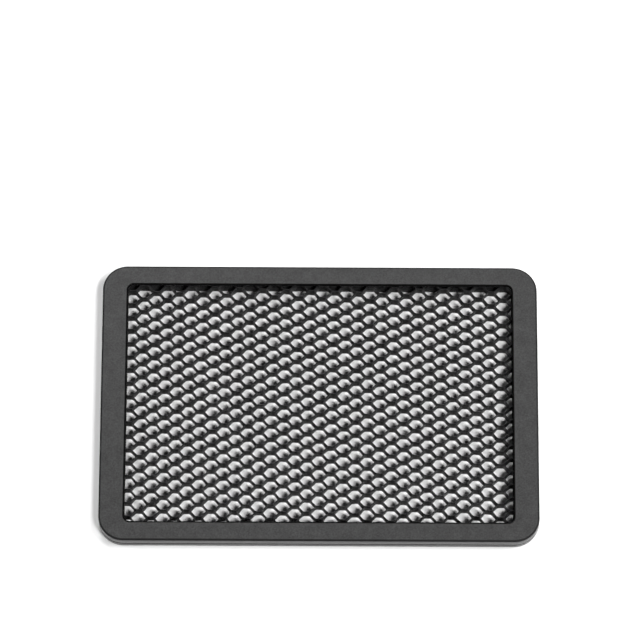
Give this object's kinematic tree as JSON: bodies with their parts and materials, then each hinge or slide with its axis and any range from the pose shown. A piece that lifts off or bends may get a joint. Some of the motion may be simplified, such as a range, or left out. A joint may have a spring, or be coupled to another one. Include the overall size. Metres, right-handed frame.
{
  "type": "honeycomb light grid",
  "caption": "Slim rectangular honeycomb grid: a two-part moulded frame with round corners holding a core of folded black foil, kept on a pocket light by hidden magnets.",
  "frame": {"origin": "centre of the rear face, the one that lies against the lamp", "axes": "+Z out of the front face; +X along the long side; +Y along the short side"},
  "size_m": [0.1, 0.0664, 0.0042],
  "materials": {
    "frame": "fine-textured dark grey moulded plastic",
    "foil": "satin black coated aluminium foil",
    "magnet": "bright nickel plate"
  },
  "bodies": {
    "root": {"front_bezel": "frame", "rear_tray": "frame", "magnet_upper_left": "magnet", "magnet_upper_right": "magnet", "magnet_lower_left": "magnet", "magnet_lower_right": "magnet", "foil_ribbon_01": "foil", "foil_ribbon_02": "foil", "foil_ribbon_03": "foil", "foil_ribbon_04": "foil", "foil_ribbon_05": "foil", "foil_ribbon_06": "foil", "foil_ribbon_07": "foil", "foil_ribbon_08": "foil", "foil_ribbon_09": "foil", "foil_ribbon_10": "foil", "foil_ribbon_11": "foil", "foil_ribbon_12": "foil", "foil_ribbon_13": "foil", "foil_ribbon_14": "foil", "foil_ribbon_15": "foil", "foil_ribbon_16": "foil", "foil_ribbon_17": "foil", "foil_ribbon_18": "foil", "foil_ribbon_19": "foil", "foil_ribbon_20": "foil", "foil_ribbon_21": "foil", "foil_ribbon_22": "foil", "foil_ribbon_23": "foil", "foil_ribbon_24": "foil", "foil_ribbon_25": "foil", "foil_ribbon_26": "foil", "foil_ribbon_27": "foil", "foil_ribbon_28": "foil", "foil_ribbon_29": "foil", "foil_ribbon_30": "foil", "foil_ribbon_31": "foil", "foil_ribbon_32": "foil", "foil_ribbon_33": "foil", "foil_ribbon_34": "foil", "foil_ribbon_35": "foil", "foil_ribbon_36": "foil", "foil_ribbon_37": "foil", "foil_ribbon_38": "foil", "foil_ribbon_39": "foil"}
  },
  "joints": []
}
